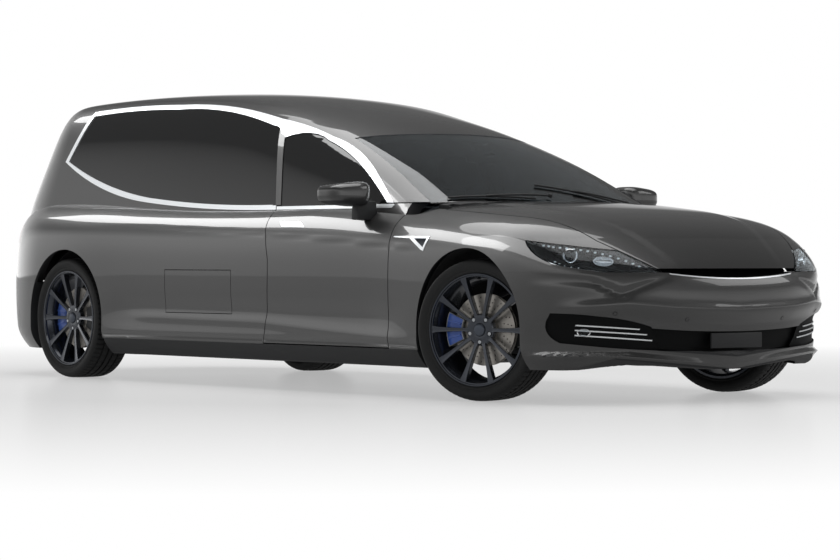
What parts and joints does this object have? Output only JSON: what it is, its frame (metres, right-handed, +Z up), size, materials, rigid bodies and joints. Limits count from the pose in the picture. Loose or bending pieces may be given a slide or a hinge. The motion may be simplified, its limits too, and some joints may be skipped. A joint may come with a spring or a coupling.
{
  "type": "hearse",
  "caption": "Stretched saloon hearse with a long glazed load bay, roller deck, opening front doors, hood, tailgate and side lockers, on steered alloy wheels.",
  "frame": {"origin": "on the ground, midway along the bounding box and on the centre plane", "axes": "+X forward along the car, +Y to its left, +Z up"},
  "size_m": [5.7728, 2.2, 1.6738],
  "materials": {
    "aluminium": "cast",
    "battery": "sheet case",
    "black_plastic": "grained moulding",
    "body_paint": "dark grey metallic enamel, clear coated",
    "deck": "brushed stainless deck",
    "disc": "turned",
    "glass_clear": "windscreen glass",
    "glass_dark": "tinted laminated glass",
    "lamp": "clear lens over bright reflector",
    "leather": "black leather",
    "red_lamp": "red lens",
    "rim": "painted cast alloy",
    "steel": "black dip primer",
    "trim": "soft touch dash",
    "tyre": "moulded rubber"
  },
  "bodies": {
    "root": {"floor_pan": "steel", "battery_pack": "battery", "sills": "body_paint", "body_side_left": "body_paint", "body_side_right": "body_paint", "roof": "body_paint", "windscreen": "glass_clear", "side_windows": "glass_dark", "front_fenders": "body_paint", "front_bumper": "body_paint", "rear_bumper": "body_paint", "headlamps": "lamp", "tail_lamps": "red_lamp", "grilles": "black_plastic", "bulkhead": "steel", "cowl": "black_plastic", "front_rails": "steel", "front_trunk_tub": "trim", "drive_units": "aluminium", "drive_shafts": "steel", "front_suspension": "steel", "rear_suspension": "aluminium", "front_wheel_liners": "black_plastic", "rear_wheel_liners": "black_plastic", "dashboard": "trim", "steering_wheel": "trim", "front_seats": "leather", "bier_deck": "deck", "hinge_brackets": "steel"},
    "hood": {"hood": "body_paint"},
    "tailgate": {"tailgate": "body_paint", "tailgate_glass": "glass_dark"},
    "knuckle_left": {"knuckle_left": "aluminium"},
    "door_left": {"door_left": "body_paint", "door_glass_left": "glass_dark", "mirror_left": "body_paint"},
    "side_hatch_left": {"side_hatch_left": "body_paint"},
    "wheel_front_left": {"tyre_front_left": "tyre", "rim_front_left": "rim", "brake_disc_front_left": "disc"},
    "wheel_rear_left": {"tyre_rear_left": "tyre", "rim_rear_left": "rim", "brake_disc_rear_left": "disc"},
    "knuckle_right": {"knuckle_right": "aluminium"},
    "door_right": {"door_right": "body_paint", "door_glass_right": "glass_dark", "mirror_right": "body_paint"},
    "side_hatch_right": {"side_hatch_right": "body_paint"},
    "wheel_front_right": {"tyre_front_right": "tyre", "rim_front_right": "rim", "brake_disc_front_right": "disc"},
    "wheel_rear_right": {"tyre_rear_right": "tyre", "rim_rear_right": "rim", "brake_disc_rear_right": "disc"}
  },
  "joints": [
    {"name": "steer_left", "type": "hinge", "parent": "root", "child": "knuckle_left", "pos_m": [1.955, 0.81, 0.352], "axis": [0, 0, 1], "range_deg": [-52.5, 17.5]},
    {"name": "spin_front_left", "type": "hinge", "parent": "knuckle_left", "child": "wheel_front_left", "pos_m": [1.94899, 0.82907, 0.352], "axis": [-0.3007, 0.9537, 0], "continuous": true},
    {"name": "spin_rear_left", "type": "hinge", "parent": "root", "child": "wheel_rear_left", "pos_m": [-1.805, 0.843, 0.352], "axis": [0, 1, 0], "continuous": true},
    {"name": "door_left", "type": "hinge", "parent": "root", "child": "door_left", "pos_m": [1.338, 0.943, 0.59], "axis": [0, 0, -1], "range_deg": [0, 62]},
    {"name": "side_hatch_left", "type": "hinge", "parent": "root", "child": "side_hatch_left", "pos_m": [-0.4425, 0.9585, 0.6395], "axis": [1, 0, 0], "range_deg": [0, 80]},
    {"name": "steer_right", "type": "hinge", "parent": "root", "child": "knuckle_right", "pos_m": [1.955, -0.81, 0.352], "axis": [0, 0, 1], "range_deg": [-52.5, 17.5]},
    {"name": "spin_front_right", "type": "hinge", "parent": "knuckle_right", "child": "wheel_front_right", "pos_m": [1.96101, -0.82907, 0.352], "axis": [-0.3007, 0.9537, 0], "continuous": true},
    {"name": "spin_rear_right", "type": "hinge", "parent": "root", "child": "wheel_rear_right", "pos_m": [-1.805, -0.843, 0.352], "axis": [0, 1, 0], "continuous": true},
    {"name": "door_right", "type": "hinge", "parent": "root", "child": "door_right", "pos_m": [1.338, -0.943, 0.59], "axis": [0, 0, 1], "range_deg": [0, 62]},
    {"name": "side_hatch_right", "type": "hinge", "parent": "root", "child": "side_hatch_right", "pos_m": [-0.4425, -0.9585, 0.6395], "axis": [-1, 0, 0], "range_deg": [0, 80]},
    {"name": "hood", "type": "hinge", "parent": "root", "child": "hood", "pos_m": [1.496, 0, 0.962], "axis": [0, -1, 0], "range_deg": [0, 50]},
    {"name": "tailgate", "type": "hinge", "parent": "root", "child": "tailgate", "pos_m": [-2.478, 0, 1.615], "axis": [0, 1, 0], "range_deg": [0, 80]}
  ],
  "couplings": [
    {"joint": "steer_right", "follows": "steer_left", "ratio": 1}
  ]
}
